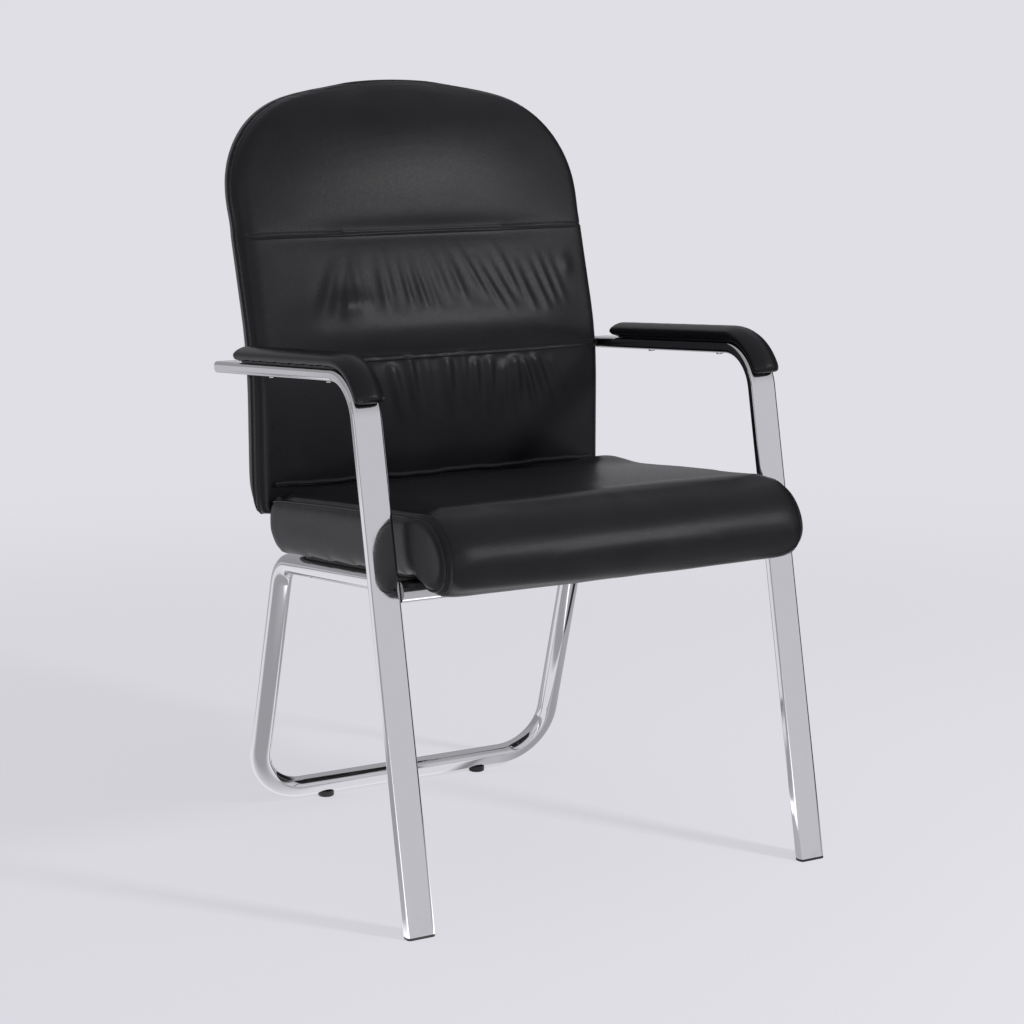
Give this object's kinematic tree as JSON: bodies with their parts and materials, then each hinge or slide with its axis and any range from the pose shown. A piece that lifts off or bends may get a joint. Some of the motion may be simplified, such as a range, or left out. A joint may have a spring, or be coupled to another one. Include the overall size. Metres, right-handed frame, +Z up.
{
  "type": "conference armchair",
  "caption": "Fixed conference armchair: flat-tube front legs bent into arms, a round-tube rear loop, a rolled leather seat and an arched back in stitched pillows.",
  "frame": {"origin": "on the floor, at the middle of the chair's plan", "axes": "+Z up, the sitter faces -Y, +X is the sitter's left"},
  "size_m": [0.621, 0.652, 0.9956],
  "materials": {
    "chromed_tube": "polished chrome plate on bent steel tube",
    "black_leather": "black coated upholstery leather with a soft sheen",
    "black_plastic": "moulded black nylon",
    "black_steel": "black powder coat",
    "stained_plywood": "plywood stained black",
    "zinc_fasteners": "zinc plated",
    "bright_fasteners": "nickel plated pan heads"
  },
  "bodies": {
    "root": {"arm_tab_bolts": "zinc_fasteners", "back_board": "stained_plywood", "back_cushion": "black_leather", "back_rear_panel": "black_leather", "back_t_nuts": "zinc_fasteners", "bracket_back_bolts": "zinc_fasteners", "bracket_seat_bolts": "zinc_fasteners", "crossbar_end_discs": "chromed_tube", "front_crossbar": "chromed_tube", "left_arm_end_plate": "chromed_tube", "left_arm_pad": "black_leather", "left_arm_pad_core": "black_plastic", "left_arm_pad_screws": "bright_fasteners", "left_arm_tab": "black_steel", "left_back_bracket": "black_steel", "left_front_foot": "black_plastic", "left_rear_glide": "black_plastic", "left_side_frame": "chromed_tube", "rear_loop": "chromed_tube", "right_arm_end_plate": "chromed_tube", "right_arm_pad": "black_leather", "right_arm_pad_core": "black_plastic", "right_arm_pad_screws": "bright_fasteners", "right_arm_tab": "black_steel", "right_back_bracket": "black_steel", "right_front_foot": "black_plastic", "right_rear_glide": "black_plastic", "right_side_frame": "chromed_tube", "seat_base": "stained_plywood", "seat_bolts": "zinc_fasteners", "seat_cushion": "black_leather", "seat_saddle_washers": "black_plastic", "seat_t_nuts": "zinc_fasteners"}
  },
  "joints": []
}
